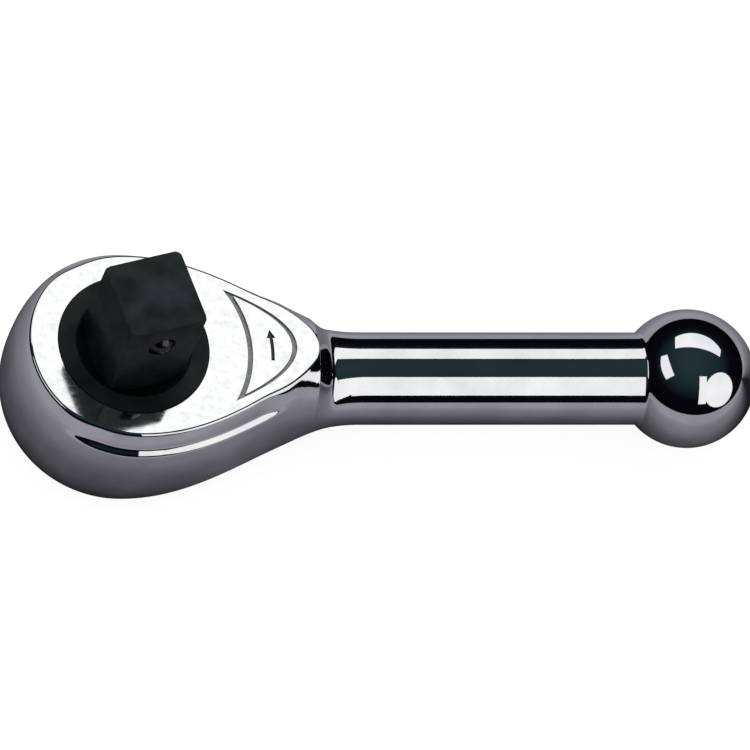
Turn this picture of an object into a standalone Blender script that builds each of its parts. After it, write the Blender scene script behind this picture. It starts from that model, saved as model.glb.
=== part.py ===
"""Stubby ratchet wrench with a ball end and a push-through 3/8 inch square drive.

Frame: metres, origin on the drive axis at the back face of the head, +Z along the drive towards the
front face, +X along the handle towards the ball. The back face and the ball touch the plane z = 0.
"""

import math

import bmesh
import bpy
import numpy as np
from mathutils import Matrix, Vector

MM = 0.001

# Square drive (mm)
SQUARE = 9.525
SQUARE_CORNER = 1.5875
DRIVE_REACH = 12.8
TIP_CHAMFER = 0.9
TIP_FLAT = 0.44
DRIVE_TURN = math.radians(14.0)
DETENT_SETBACK = 4.6
DETENT_BALL_RADIUS = 1.6
DETENT_PROUD = 0.8
DETENT_TRAVEL = 1.2
DETENT_HOLE_DEPTH = 6.2
DETENT_SPRING_RADIUS = 1.05
DETENT_SPRING_TURNS = 3.5

# Ratchet gear (mm)
TEETH = 36
TOOTH_DEPTH = 0.85
TOOTH_SHAPE = ((0.06, 0.0), (0.80, 1.0), (0.92, 1.0), (0.98, 0.0))
TOOTH_RISE = 0.9
HUB_WALL = 1.12
HUB_STEP = 1.0
HUB_PROUD = 0.15
BACK_HUB_RECESS = 0.2
COUNTERSINK = 2.19

# Head, handle and ball (mm)
HEAD_THICKNESS = 16.6
HEAD_WALL = 3.85
FACE_EDGE = 1.55
BACK_FACE_EDGE = 2.85
HEAD_SQUARENESS = 2.6
NECK_END = 29.0
WIDTH_TAPER = (2.0, 2.2)
HEIGHT_TAPER = (2.6, 1.5)
HANDLE_RADIUS = 5.45
BALL_RADIUS = 8.2
BALL_DISTANCE = 68.9
BALL_NECK_FILLET = 0.6

# Walls, covers and rings (mm)
FRONT_WALL = 2.4
THRUST_WASHER = 0.4
WAVE_WASHER = 0.3
WAVE_HEIGHT = 0.45
COVER_THICKNESS = 1.6
COVER_SHOULDER = 0.5
RETAINING_RING = 0.9
RETAINING_RING_WIDTH = 1.25
RING_GROOVE_DEPTH = 0.55
RING_INSET = 1.2
RING_GAP = math.radians(16.0)
RING_EAR = math.radians(12.0)
RING_EAR_HOLE = 0.5
O_RING_WIRE = 0.36
O_RING_GROOVE = 0.75

# Pawl, placed from its pivot (mm)
PAWL_PIVOT_OUT = 4.1
PAWL_PIVOT_SIDE = 4.4
PAWL_PIN_RADIUS = 1.0
PAWL_HEEL_RADIUS = 1.8
PAWL_THICKNESS = 7.5
PAWL_TEETH = 3
PAWL_NOSE = 0.9
PAWL_TOE = (-0.5, 9.7)
PAWL_BACK = (0.6, 8.0)
PAWL_HEEL_START = 0.4
PAWL_HEEL_TURN = 3.9
PAWL_THROAT = 0.25
PAWL_POCKET_RADIUS = 7.0
PAWL_POCKET_OUT = 1.6
PAWL_SPRING_Y = 2.6
PAWL_SPRING_RADIUS = 0.9
PAWL_SPRING_TURNS = 4.5
PAWL_BORE_BEHIND = 1.8
PIN_BLIND_WALL = 2.3

# Marks cut into the faces (mm)
CRESCENT_OUT = 0.05
CRESCENT_TIP_INSET = 2.96
CRESCENT_BOW = 0.15
GROOVE_WIDTH = 0.62
GROOVE_DEPTH = 0.25
ARROW_HALF_ANGLE = math.radians(7.0)
ARROW_STROKE = 0.42
ARROW_HEAD = 1.1

# Clearances (mm)
RUNNING = 0.1
SEAT = 0.1
TOOTH_CLEARANCE = 0.17
TOOTH_LAG = 0.1
OVERCUT = 1.0
COUNTERSINK_OVER = 0.5

# Mesh fineness
ROUND_STEPS = 64
SMALL_STEPS = 24
O_RING_STEPS = 48
O_RING_SIDES = 8
COIL_POINTS = 10
SPRING_WIRE = 0.17

# Radii from the drive outwards, in the order that one piece fits round the next
SQUARE_TURNED_RADIUS = SQUARE / 2 + SQUARE_CORNER
TIP_FLAT_RADIUS = SQUARE / 2 + TIP_FLAT
COUNTERSINK_RADIUS = SQUARE / 2 + COUNTERSINK
BACK_HUB_RADIUS = (SQUARE / 2 + RUNNING) * math.sqrt(2) + HUB_WALL
FRONT_HUB_RADIUS = BACK_HUB_RADIUS + HUB_STEP
TOOTH_TIP_RADIUS = FRONT_HUB_RADIUS + TOOTH_RISE
ROOT_RADIUS = TOOTH_TIP_RADIUS - TOOTH_DEPTH
POCKET_RADIUS = TOOTH_TIP_RADIUS + 2 * RUNNING
COVER_RADIUS = POCKET_RADIUS + COVER_SHOULDER
HEAD_RADIUS = POCKET_RADIUS + HEAD_WALL
FACE_RADIUS = HEAD_RADIUS - FACE_EDGE
BACK_FACE_RADIUS = HEAD_RADIUS - BACK_FACE_EDGE
PAWL_PIVOT = (TOOTH_TIP_RADIUS + PAWL_PIVOT_OUT, -PAWL_PIVOT_SIDE)
PAWL_POCKET_CENTRE = TOOTH_TIP_RADIUS + PAWL_POCKET_OUT
CRESCENT_INNER_RADIUS = HEAD_RADIUS + CRESCENT_OUT

# Heights above the back face
HANDLE_HEIGHT = BALL_RADIUS
FACE_HEIGHT = HEAD_THICKNESS
POCKET_CEILING = FACE_HEIGHT - FRONT_WALL
DRIVE_LENGTH = HEAD_THICKNESS + DRIVE_REACH
RING_TOP = RING_INSET + RETAINING_RING
COVER_BOTTOM = RING_TOP + SEAT
COVER_TOP = COVER_BOTTOM + COVER_THICKNESS
GEAR_BOTTOM = COVER_TOP + WAVE_HEIGHT + 2 * SEAT
GEAR_TOP = POCKET_CEILING - THRUST_WASHER - 2 * SEAT
HUB_TOP = FACE_HEIGHT + HUB_PROUD
PAWL_BOTTOM = 0.5 * (GEAR_BOTTOM + GEAR_TOP - PAWL_THICKNESS)
PAWL_TOP = PAWL_BOTTOM + PAWL_THICKNESS
DETENT_NORMAL = DRIVE_TURN - math.pi / 2

WRENCH = bpy.data.collections.new("ratchet_wrench")
CUTTERS = bpy.data.collections.new("cutters")


def clear_scene():
    """Removes what the file opened with and links the two collections."""
    for thing in list(bpy.data.objects):
        bpy.data.objects.remove(thing, do_unlink=True)
    for group in (WRENCH, CUTTERS):
        bpy.context.scene.collection.children.link(group)


def finish(name, colour, roughness, metallic):
    """A Principled material of one colour."""
    made = bpy.data.materials.new(name)
    made.use_nodes = True
    shader = made.node_tree.nodes["Principled BSDF"]
    shader.inputs["Base Color"].default_value = (*colour, 1.0)
    shader.inputs["Roughness"].default_value = roughness
    shader.inputs["Metallic"].default_value = metallic
    return made


def add_object(name, mesh, surface=None):
    """Links a mesh as a piece, or as a hidden cutter where it has no surface finish."""
    thing = bpy.data.objects.new(name, mesh)
    if surface is None:
        CUTTERS.objects.link(thing)
        thing.hide_render = True
        thing.display_type = "WIRE"
    else:
        WRENCH.objects.link(thing)
        mesh.materials.append(surface)
    return thing


def cylinder(name, radius, low, high, centre=(0.0, 0.0), surface=None, top_radius=None, steps=ROUND_STEPS):
    """An upright cylinder or cone between two heights, in mm."""
    mesh = bpy.data.meshes.new(name)
    shape = bmesh.new()
    bmesh.ops.create_cone(
        shape,
        cap_ends=True,
        segments=steps,
        radius1=radius * MM,
        radius2=(radius if top_radius is None else top_radius) * MM,
        depth=(high - low) * MM,
    )
    place = Matrix.Translation(Vector((centre[0], centre[1], 0.5 * (low + high))) * MM)
    bmesh.ops.transform(shape, matrix=place, verts=shape.verts)
    shape.to_mesh(mesh)
    shape.free()
    return add_object(name, mesh, surface)


def turned(name, profile, surface, closed, steps=ROUND_STEPS):
    """A profile of (radius, height) points in mm, turned about Z with a Screw modifier."""
    mesh = bpy.data.meshes.new(name)
    points = [(radius * MM, 0.0, height * MM) for radius, height in profile]
    edges = [(i, i + 1) for i in range(len(points) - 1)]
    if closed:
        edges.append((len(points) - 1, 0))
    mesh.from_pydata(points, edges, [])
    thing = add_object(name, mesh, surface)
    screw = thing.modifiers.new("turn", "SCREW")
    screw.steps = steps
    screw.render_steps = steps
    screw.use_merge_vertices = True
    screw.merge_threshold = 1e-6
    screw.use_smooth_shade = False
    return thing


def ring_profile(inner, outer, low, high):
    """The closed section of a flat ring, running down its outer side."""
    return [(inner, high), (outer, high), (outer, low), (inner, low)]


def outline_mesh(name, outlines, low, high):
    """Flat closed outlines in mm, filled and extruded between two heights, as a welded mesh."""
    curve = bpy.data.curves.new(name, "CURVE")
    curve.dimensions = "2D"
    curve.fill_mode = "BOTH"
    curve.extrude = 0.5 * (high - low) * MM
    for points in outlines:
        spline = curve.splines.new("POLY")
        spline.points.add(len(points) - 1)
        spline.use_cyclic_u = True
        for node, (x, y) in zip(spline.points, points):
            node.co = (x * MM, y * MM, 0.0, 1.0)
    return curve_to_mesh(name, curve, Vector((0.0, 0.0, 0.5 * (low + high) * MM)))


def curve_to_mesh(name, curve, place):
    """Evaluates a curve into a welded mesh moved to its place, and removes the curve."""
    guide = bpy.data.objects.new(name, curve)
    CUTTERS.objects.link(guide)
    bpy.context.view_layer.update()
    seen = guide.evaluated_get(bpy.context.evaluated_depsgraph_get())
    mesh = bpy.data.meshes.new_from_object(seen)
    bpy.data.objects.remove(guide, do_unlink=True)
    shape = bmesh.new()
    shape.from_mesh(mesh)
    bmesh.ops.remove_doubles(shape, verts=shape.verts, dist=1e-7)
    bmesh.ops.transform(shape, matrix=Matrix.Translation(place), verts=shape.verts)
    bmesh.ops.recalc_face_normals(shape, faces=shape.faces)
    shape.to_mesh(mesh)
    shape.free()
    return mesh


def combine(thing, tool, operation="DIFFERENCE"):
    """Cuts one object with another, or joins it on."""
    boolean = thing.modifiers.new(tool.name, "BOOLEAN")
    boolean.operation = operation
    boolean.solver = "EXACT"
    boolean.object = tool


def set_origin(thing, x, y, z):
    """Moves an object's origin to a point in mm without moving its surface."""
    place = Vector((x, y, z)) * MM
    thing.data.transform(Matrix.Translation(-place))
    thing.location = place


def polar(radius, angle):
    """A point in the plane of the head, in mm."""
    return (radius * math.cos(angle), radius * math.sin(angle))


# ---------------------------------------------------------------- forged body


def taper(share, powers):
    """Falls smoothly from 1 at the drive axis to 0 at the end of the neck."""
    return (1.0 - share ** powers[0]) ** powers[1]


def blob_height(flat_radius, flat_height):
    """The half height of the unground forging whose flat is ground to this radius at this height."""
    power = HEAD_SQUARENESS
    return flat_height / (1.0 - (flat_radius / HEAD_RADIUS) ** power) ** (1.0 / power)


def section_side(x, upward_points, downward_points):
    """One side of the forging's section at x: (half width, height above the handle's axis), top to bottom."""
    top_flat = FACE_HEIGHT - HANDLE_HEIGHT
    back_flat = HANDLE_HEIGHT
    share = min(max(x, 0.0) / NECK_END, 1.0)
    tall = taper(share, HEIGHT_TAPER)
    wide = taper(share, WIDTH_TAPER)
    width = HANDLE_RADIUS + (HEAD_RADIUS - HANDLE_RADIUS) * wide
    top = HANDLE_RADIUS + (blob_height(FACE_RADIUS, top_flat) - HANDLE_RADIUS) * tall
    back = HANDLE_RADIUS + (blob_height(BACK_FACE_RADIUS, back_flat) - HANDLE_RADIUS) * tall
    power = 2.0 + (HEAD_SQUARENESS - 2.0) * wide
    side = []
    for height, flat, count, sign in (
        (top, top_flat, upward_points, 1.0),
        (back, back_flat, downward_points, -1.0),
    ):
        reach = math.asin(min(1.0, flat / height) ** (power / 2.0))
        for step in range(count):
            turn = reach * (1.0 - step / count)
            part = (
                width * max(math.cos(turn), 0.0) ** (2.0 / power),
                sign * height * math.sin(turn) ** (2.0 / power),
            )
            side.append(part)
        if sign > 0:
            side.append((width, 0.0))
    return side[: upward_points + 1] + side[:upward_points:-1]


def flat_tip(flat_radius, flat_height):
    """How far along the handle the ground flat of this radius reaches: where the forging sinks below it."""
    tall = (flat_height - HANDLE_RADIUS) / (blob_height(flat_radius, flat_height) - HANDLE_RADIUS)
    return NECK_END * (1.0 - tall ** (1.0 / HEIGHT_TAPER[1])) ** (1.0 / HEIGHT_TAPER[0])


def neck_stations():
    """Places along the handle's axis from the drive axis to the ball, with the ball's own radius there."""
    tips = [flat_tip(FACE_RADIUS, FACE_HEIGHT - HANDLE_HEIGHT), flat_tip(BACK_FACE_RADIUS, HANDLE_HEIGHT)]
    places = [x for x in np.linspace(0.0, NECK_END, 19) if min(abs(x - tip) for tip in tips) > 0.7]
    places += [tip - lead for tip in tips for lead in (0.0, 0.2)]
    stations = [(x, None) for x in sorted(places)]
    reach = BALL_RADIUS + BALL_NECK_FILLET
    level = HANDLE_RADIUS + BALL_NECK_FILLET
    start = BALL_DISTANCE - math.sqrt(reach**2 - level**2)
    touch = math.atan2(level, BALL_DISTANCE - start)
    for turn in np.linspace(0.0, math.pi / 2 - touch, 4):
        angle = -math.pi / 2 + turn
        radius = level + BALL_NECK_FILLET * math.sin(angle)
        stations.append((start + BALL_NECK_FILLET * math.cos(angle), radius))
    for angle in np.linspace(math.pi - touch, 0.0, 16)[1:-1]:
        stations.append((BALL_DISTANCE + BALL_RADIUS * math.cos(angle), BALL_RADIUS * math.sin(angle)))
    return stations


def forging_mesh(name, upward_points=7, downward_points=8, head_steps=16):
    """The forging's skin: the head's side turned about the drive axis behind, lofted along the handle ahead."""
    shape = bmesh.new()
    rings = []
    side = section_side(0.0, upward_points, downward_points)
    for angle in np.linspace(math.pi, math.pi / 2, head_steps, endpoint=False):
        rows = []
        for sign in (1.0, -1.0):
            rows.append([(w * math.cos(angle), sign * w * math.sin(angle), h) for w, h in side])
        rings.append(rows)
    for x, ball in neck_stations():
        side = section_side(x, upward_points, downward_points)
        scale = 1.0 if ball is None else ball / HANDLE_RADIUS
        rows = []
        for sign in (1.0, -1.0):
            rows.append([(x, sign * w * scale, h * scale) for w, h in side])
        rings.append(rows)
    pole = shape.verts.new(Vector((BALL_DISTANCE + BALL_RADIUS, 0.0, HANDLE_HEIGHT)) * MM)
    for side_index in (0, 1):
        grid = []
        for rows in rings:
            row = [Vector((x, y, z + HANDLE_HEIGHT)) * MM for x, y, z in rows[side_index]]
            grid.append([shape.verts.new(place) for place in row])
        for near, far in zip(grid, grid[1:]):
            for a, b, c, d in zip(near, near[1:], far[1:], far):
                shape.faces.new((a, b, c, d) if side_index else (d, c, b, a))
        for a, b in zip(grid[-1], grid[-1][1:]):
            shape.faces.new((a, b, pole) if side_index else (pole, b, a))
    bmesh.ops.remove_doubles(shape, verts=shape.verts, dist=1e-6)
    bmesh.ops.dissolve_degenerate(shape, edges=shape.edges, dist=1e-6)
    bmesh.ops.holes_fill(shape, edges=[e for e in shape.edges if e.is_boundary], sides=0)
    bmesh.ops.recalc_face_normals(shape, faces=shape.faces)
    mesh = bpy.data.meshes.new(name)
    shape.to_mesh(mesh)
    shape.free()
    return mesh


def crescent_tip():
    """Where the crescent's bowed line crosses the handle's axis, set back from the end of the ground face."""
    return flat_tip(FACE_RADIUS, FACE_HEIGHT - HANDLE_HEIGHT) - CRESCENT_TIP_INSET


def crescent(offset):
    """The crescent's outline moved outwards by offset: a bowed outer line and an arc about the drive axis.

    The outer line is x = tip - bow * y^2, and its horns are where it meets x^2 + y^2 = inner^2.
    """
    inner = CRESCENT_INNER_RADIUS - offset
    tip = crescent_tip() + offset
    linear = 2.0 * CRESCENT_BOW * tip - 1.0
    spare = linear**2 - 4 * CRESCENT_BOW**2 * (tip**2 - inner**2)
    horn = math.sqrt((linear - math.sqrt(spare)) / (2 * CRESCENT_BOW**2))
    outer_line = [(tip - CRESCENT_BOW * y**2, y) for y in np.linspace(-horn, horn, 23)]
    turn = math.asin(horn / inner)
    inner_line = [polar(inner, angle) for angle in np.linspace(turn, -turn, 15)[1:-1]]
    return outer_line + inner_line


def arrow(direction):
    """A curved arrow in the middle of the crescent that points towards +Y or -Y, as one closed outline."""
    line = 0.5 * (CRESCENT_INNER_RADIUS + crescent_tip())
    outer = line + ARROW_STROKE / 2
    inner = line - ARROW_STROKE / 2
    head = ARROW_HEAD / line
    sweep = np.linspace(-ARROW_HALF_ANGLE, ARROW_HALF_ANGLE - head, 9)
    points = [polar(outer, angle) for angle in sweep]
    points += [
        polar(line + ARROW_HEAD / 2, ARROW_HALF_ANGLE - head),
        polar(line, ARROW_HALF_ANGLE),
        polar(line - ARROW_HEAD / 2, ARROW_HALF_ANGLE - head),
    ]
    points += [polar(inner, angle) for angle in sweep[::-1]]
    return [(x, direction * y) for x, y in points]


def make_body(chrome):
    """The one-piece forging with its gear pocket, pawl pocket, ring groove, pin hole and face marks."""
    body = add_object("body", forging_mesh("body"), chrome)
    below = -OVERCUT
    above = FACE_HEIGHT + OVERCUT
    seat = COVER_RADIUS + RUNNING
    groove = COVER_RADIUS + RING_GROOVE_DEPTH
    bore = [
        (0.0, above),
        (FRONT_HUB_RADIUS + RUNNING, above),
        (FRONT_HUB_RADIUS + RUNNING, POCKET_CEILING),
        (POCKET_RADIUS, POCKET_CEILING),
        (POCKET_RADIUS, COVER_TOP),
        (seat, COVER_TOP),
        (seat, RING_TOP + SEAT),
        (groove, RING_TOP + SEAT),
        (groove, RING_INSET - SEAT),
        (seat, RING_INSET - SEAT),
        (seat, below),
        (0.0, below),
    ]
    cuts = [
        turned("head_bore_cut", bore, None, closed=False),
        cylinder(
            "pawl_pocket_cut",
            PAWL_POCKET_RADIUS,
            PAWL_BOTTOM - RUNNING,
            PAWL_TOP + RUNNING,
            centre=(PAWL_POCKET_CENTRE, 0.0),
        ),
        cylinder(
            "pin_hole_cut",
            PAWL_PIN_RADIUS + SEAT,
            below,
            FACE_HEIGHT - PIN_BLIND_WALL,
            centre=PAWL_PIVOT,
            steps=SMALL_STEPS,
        ),
    ]
    half = GROOVE_WIDTH / 2
    front_low = FACE_HEIGHT - GROOVE_DEPTH
    marks = [
        ("crescent_cut", [crescent(half), crescent(-half)], front_low, above),
        ("front_arrow_cut", [arrow(1.0)], front_low, above),
        ("back_arrow_cut", [arrow(-1.0)], below, GROOVE_DEPTH),
    ]
    cuts += [add_object(name, outline_mesh(name, lines, low, high)) for name, lines, low, high in marks]
    for tool in cuts:
        combine(body, tool)
    return body


# ---------------------------------------------------------------- ratchet gear


def tooth_points(index):
    """One tooth as (angle, radius): a slow rise to the tip and a steep drop that faces a rising angle."""
    pitch = 2 * math.pi / TEETH
    return [((index + share) * pitch, ROOT_RADIUS + rise * TOOTH_DEPTH) for share, rise in TOOTH_SHAPE]


def make_gear(black):
    """Toothed wheel and its two hubs in one piece, bored square for the drive."""
    outline = [polar(radius, angle) for index in range(TEETH) for angle, radius in tooth_points(index)]
    wheel = add_object("drive_gear", outline_mesh("drive_gear", [outline], GEAR_BOTTOM, GEAR_TOP), black)
    front_mid = 0.5 * (POCKET_CEILING + FACE_HEIGHT)
    back_mid = 0.5 * (COVER_BOTTOM + COVER_TOP)
    half = O_RING_WIRE + SEAT
    profile = [(0.0, HUB_TOP), (FRONT_HUB_RADIUS, HUB_TOP)]
    profile += [
        (FRONT_HUB_RADIUS, front_mid + half),
        (FRONT_HUB_RADIUS - O_RING_GROOVE, front_mid + half),
        (FRONT_HUB_RADIUS - O_RING_GROOVE, front_mid - half),
        (FRONT_HUB_RADIUS, front_mid - half),
        (FRONT_HUB_RADIUS, GEAR_TOP - OVERCUT),
        (BACK_HUB_RADIUS, GEAR_TOP - OVERCUT),
        (BACK_HUB_RADIUS, back_mid + half),
        (BACK_HUB_RADIUS - O_RING_GROOVE, back_mid + half),
        (BACK_HUB_RADIUS - O_RING_GROOVE, back_mid - half),
        (BACK_HUB_RADIUS, back_mid - half),
        (BACK_HUB_RADIUS, BACK_HUB_RECESS),
        (0.0, BACK_HUB_RECESS),
    ]
    hubs = turned("gear_hubs", profile, None, closed=False)
    combine(wheel, hubs, "UNION")
    bore = outline_mesh("square_hole_cut", [square_outline(RUNNING)], -OVERCUT, HUB_TOP + OVERCUT)
    combine(wheel, add_object("square_hole_cut", bore))
    small = SQUARE / 2
    large = COUNTERSINK_RADIUS + COUNTERSINK_OVER
    front_low = HUB_TOP - COUNTERSINK
    front_high = HUB_TOP + COUNTERSINK_OVER
    combine(wheel, cylinder("front_countersink_cut", small, front_low, front_high, top_radius=large))
    back_low = BACK_HUB_RECESS - COUNTERSINK_OVER
    back_high = BACK_HUB_RECESS + COUNTERSINK
    combine(wheel, cylinder("back_countersink_cut", large, back_low, back_high, top_radius=small))
    return wheel


# ---------------------------------------------------------------- square drive and its detents


def square_outline(gap):
    """The drive's square, turned to its angle at rest and moved outwards by gap."""
    half_side = SQUARE / 2 + gap
    middle = DRIVE_TURN + math.pi / 4
    return [polar(half_side * math.sqrt(2), middle + quarter * math.pi / 2) for quarter in range(4)]


def detent_place(height):
    """The middle of the side of the drive that carries the detent balls."""
    x, y = polar(SQUARE / 2, DETENT_NORMAL)
    return Vector((x, y, height)) * MM


def detent_turn():
    """Turns local +Z onto the outward normal of that side."""
    return Matrix.Rotation(DETENT_NORMAL, 4, "Z") @ Matrix.Rotation(math.pi / 2, 4, "Y")


def detent_heights():
    """How high each detent ball sits on the drive."""
    return {
        "front": DRIVE_LENGTH - DETENT_SETBACK,
        "back": DETENT_SETBACK,
    }


def make_drive(black):
    """Square bar, its corners and both tips turned, with a blind hole for each detent ball."""
    bar = outline_mesh("square_drive", [square_outline(0.0)], 0.0, DRIVE_LENGTH)
    drive = add_object("square_drive", bar, black)
    profile = [
        (0.0, DRIVE_LENGTH),
        (TIP_FLAT_RADIUS, DRIVE_LENGTH),
        (SQUARE_TURNED_RADIUS, DRIVE_LENGTH - TIP_CHAMFER),
        (SQUARE_TURNED_RADIUS, TIP_CHAMFER),
        (TIP_FLAT_RADIUS, 0.0),
        (0.0, 0.0),
    ]
    combine(drive, turned("drive_turning_limit", profile, None, closed=False), "INTERSECT")
    for end, height in detent_heights().items():
        name = f"detent_hole_{end}_cut"
        hole = cylinder(name, DETENT_BALL_RADIUS + RUNNING, -DETENT_HOLE_DEPTH, OVERCUT, steps=SMALL_STEPS)
        hole.data.transform(Matrix.Translation(detent_place(height)) @ detent_turn())
        combine(drive, hole)
    return drive


def make_detents(steel):
    """A ball and a coil spring in each blind hole; the back ball starts pressed in by the gear's bore."""
    for end, height in detent_heights().items():
        proud = DETENT_PROUD if end == "front" else DETENT_PROUD - DETENT_TRAVEL
        centre = proud - DETENT_BALL_RADIUS
        mesh = bpy.data.meshes.new(f"detent_ball_{end}")
        shape = bmesh.new()
        radius = DETENT_BALL_RADIUS * MM
        bmesh.ops.create_uvsphere(shape, u_segments=SMALL_STEPS, v_segments=SMALL_STEPS // 2, radius=radius)
        shape.to_mesh(mesh)
        shape.free()
        ball = add_object(f"detent_ball_{end}", mesh, steel)
        place = Matrix.Translation(detent_place(height)) @ detent_turn()
        ball.matrix_world = place @ Matrix.Translation(Vector((0.0, 0.0, centre * MM)))
        low = -DETENT_HOLE_DEPTH + SEAT + SPRING_WIRE
        reach = DETENT_BALL_RADIUS + SPRING_WIRE + 0.5 * RUNNING
        high = centre - math.sqrt(reach**2 - DETENT_SPRING_RADIUS**2)
        name = f"detent_spring_{end}"
        spring = coil(name, DETENT_SPRING_RADIUS, low, high, DETENT_SPRING_TURNS, steel)
        spring.data.transform(place)


def coil(name, radius, low, high, turns, surface):
    """A coil spring along local Z between two heights, in mm, as a helix of straight runs."""
    curve = bpy.data.curves.new(name, "CURVE")
    curve.dimensions = "3D"
    curve.bevel_depth = SPRING_WIRE * MM
    curve.bevel_resolution = 2
    curve.use_fill_caps = True
    count = int(round(turns * COIL_POINTS)) + 1
    spline = curve.splines.new("POLY")
    spline.points.add(count - 1)
    for index, node in enumerate(spline.points):
        share = index / (count - 1)
        x, y = polar(radius, 2 * math.pi * turns * share)
        node.co = (x * MM, y * MM, (low + (high - low) * share) * MM, 1.0)
    return add_object(name, curve_to_mesh(name, curve, Vector((0.0, 0.0, 0.0))), surface)


# ---------------------------------------------------------------- pawl


def pawl_outline():
    """The pawl in plan: toothed along the gear, round about its pivot, straight along its back."""
    pitch = 2 * math.pi / TEETH
    lag = TOOTH_LAG / TOOTH_TIP_RADIUS
    teeth = []
    for index in range(PAWL_TEETH):
        teeth += [polar(radius + TOOTH_CLEARANCE, angle + lag) for angle, radius in tooth_points(index)]
    last = PAWL_TEETH * pitch
    nose = [polar(ROOT_RADIUS + TOOTH_CLEARANCE, last + lag)]
    nose.append(polar(TOOTH_TIP_RADIUS + PAWL_NOSE, last + 4 * lag))
    px, py = PAWL_PIVOT
    back = [(px + x, py + y) for x, y in (PAWL_TOE, PAWL_BACK)]
    heel = []
    for angle in np.linspace(PAWL_HEEL_START, PAWL_HEEL_START - PAWL_HEEL_TURN, 15):
        x, y = polar(PAWL_HEEL_RADIUS, angle)
        heel.append((px + x, py + y))
    relief = TOOTH_TIP_RADIUS + 2 * TOOTH_CLEARANCE
    throat = [polar(relief + PAWL_THROAT, -share * pitch) for share in (1.25, 0.7)]
    throat.append(polar(relief, -0.12 * pitch))
    return teeth + nose + back + heel + throat


def make_pawl(steel):
    """Pawl, its pivot pin and its spring."""
    px, py = PAWL_PIVOT
    pawl = add_object("pawl", outline_mesh("pawl", [pawl_outline()], PAWL_BOTTOM, PAWL_TOP), steel)
    hole = cylinder(
        "pawl_pivot_cut",
        PAWL_PIN_RADIUS + RUNNING,
        PAWL_BOTTOM - OVERCUT,
        PAWL_TOP + OVERCUT,
        centre=PAWL_PIVOT,
        steps=SMALL_STEPS,
    )
    combine(pawl, hole)
    middle = 0.5 * (PAWL_BOTTOM + PAWL_TOP)
    bore_bottom = px - PAWL_BORE_BEHIND
    bore_mouth = px + PAWL_HEEL_RADIUS + OVERCUT
    along = Matrix.Rotation(math.pi / 2, 4, "Y")
    place = Matrix.Translation(Vector((0.0, PAWL_SPRING_Y, middle)) * MM) @ along
    bore_radius = PAWL_SPRING_RADIUS + SPRING_WIRE + 2 * RUNNING
    bore = cylinder("pawl_bore_cut", bore_radius, bore_bottom, bore_mouth, steps=SMALL_STEPS)
    bore.data.transform(place)
    combine(pawl, bore)
    set_origin(pawl, px, py, PAWL_BOTTOM)
    cylinder(
        "pawl_pin",
        PAWL_PIN_RADIUS,
        SEAT,
        FACE_HEIGHT - PIN_BLIND_WALL - SEAT,
        centre=PAWL_PIVOT,
        surface=steel,
        steps=SMALL_STEPS,
    )
    reach = PAWL_SPRING_RADIUS + SPRING_WIRE
    wall = PAWL_POCKET_CENTRE + math.sqrt(PAWL_POCKET_RADIUS**2 - (PAWL_SPRING_Y + reach) ** 2)
    low = bore_bottom + SEAT + SPRING_WIRE
    high = wall - SEAT - SPRING_WIRE
    spring = coil("pawl_spring", PAWL_SPRING_RADIUS, low, high, PAWL_SPRING_TURNS, steel)
    spring.data.transform(place)


# ---------------------------------------------------------------- washers, cover and rings


def make_wave_washer(steel):
    """A thin ring with three waves, lofted round the drive axis."""
    inner = BACK_HUB_RADIUS + 3 * RUNNING
    outer = TOOTH_TIP_RADIUS - RUNNING
    swing = 0.5 * (WAVE_HEIGHT - WAVE_WASHER)
    middle = COVER_TOP + SEAT + 0.5 * WAVE_HEIGHT
    shape = bmesh.new()
    rings = []
    for index in range(ROUND_STEPS):
        angle = 2 * math.pi * index / ROUND_STEPS
        level = middle + swing * math.cos(3 * angle)
        section = []
        for radius, side in ((inner, 0.5), (outer, 0.5), (outer, -0.5), (inner, -0.5)):
            x, y = polar(radius, angle)
            section.append(shape.verts.new(Vector((x, y, level + side * WAVE_WASHER)) * MM))
        rings.append(section)
    for near, far in zip(rings, rings[1:] + rings[:1]):
        for k in range(4):
            shape.faces.new((near[k], near[(k + 1) % 4], far[(k + 1) % 4], far[k]))
    bmesh.ops.recalc_face_normals(shape, faces=shape.faces)
    mesh = bpy.data.meshes.new("wave_washer")
    shape.to_mesh(mesh)
    shape.free()
    add_object("wave_washer", mesh, steel)


def retaining_ring_outline():
    """An open ring that springs into the body's groove, with an ear at each end."""
    outer = COVER_RADIUS + RING_GROOVE_DEPTH - SEAT
    inner = outer - RETAINING_RING_WIDTH
    ear = outer - 2 * RETAINING_RING_WIDTH + RUNNING
    middle = math.pi
    full = 2 * math.pi
    outer_line = [polar(outer, middle + angle) for angle in np.linspace(RING_GAP, full - RING_GAP, 56)]
    ear_end = [polar(ear, middle - RING_GAP - share * RING_EAR) for share in (0.0, 0.5, 1.0)]
    root = RING_GAP + 1.25 * RING_EAR
    inner_line = [polar(inner, middle + angle) for angle in np.linspace(full - root, root, 48)]
    ear_start = [polar(ear, middle + RING_GAP + share * RING_EAR) for share in (1.0, 0.5, 0.0)]
    return outer_line + ear_end + inner_line + ear_start


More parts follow.
